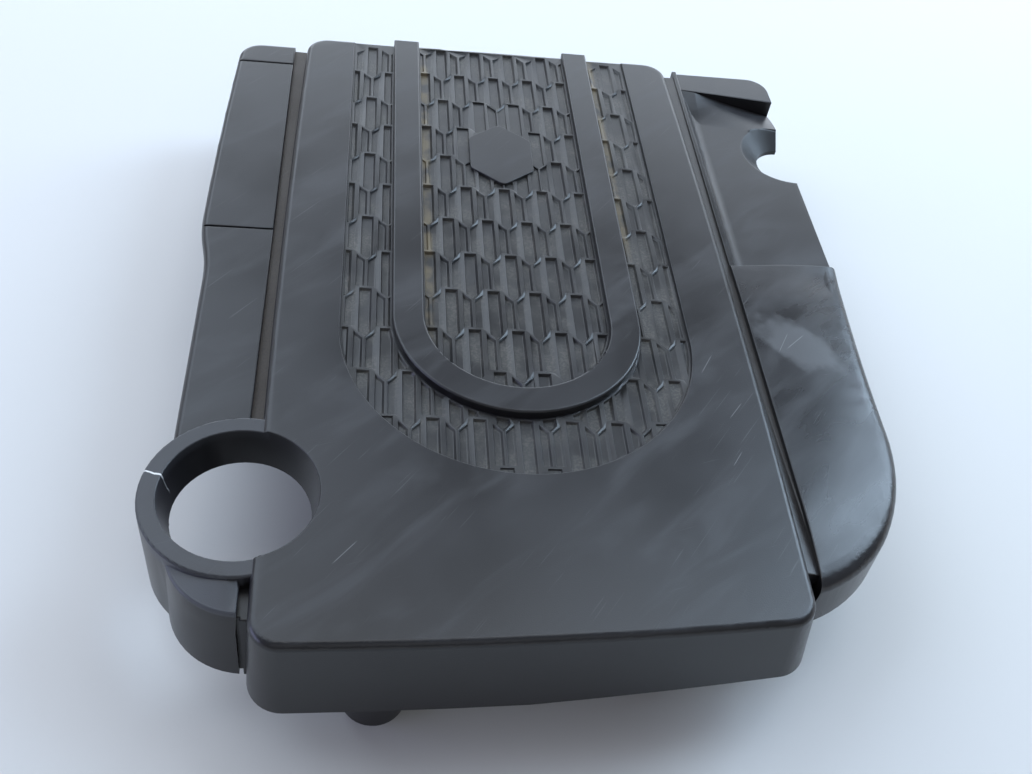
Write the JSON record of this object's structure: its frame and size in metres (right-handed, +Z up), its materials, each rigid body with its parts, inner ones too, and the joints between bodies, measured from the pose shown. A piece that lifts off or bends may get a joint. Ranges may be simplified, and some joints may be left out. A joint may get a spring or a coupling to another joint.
{
  "type": "engine cover",
  "caption": "Moulded plastic engine cover with a raised middle, a U-shaped band round honeycomb panels, a filler-cap ring, grooved side wings and push-fit stud bosses underneath.",
  "frame": {"origin": "middle of the box round the cover, on the plane of the grommets' feet", "axes": "+X to the side with the scoop and lobe, +Y along the band towards its open end, +Z up out of the engine"},
  "size_m": [0.408, 0.4982, 0.0915],
  "materials": {
    "plastic": "matte",
    "rubber": "matte"
  },
  "bodies": {
    "root": {"engine_cover": "plastic", "stud_grommet_1": "rubber", "stud_grommet_2": "rubber", "stud_grommet_3": "rubber", "stud_grommet_4": "rubber"}
  },
  "joints": []
}
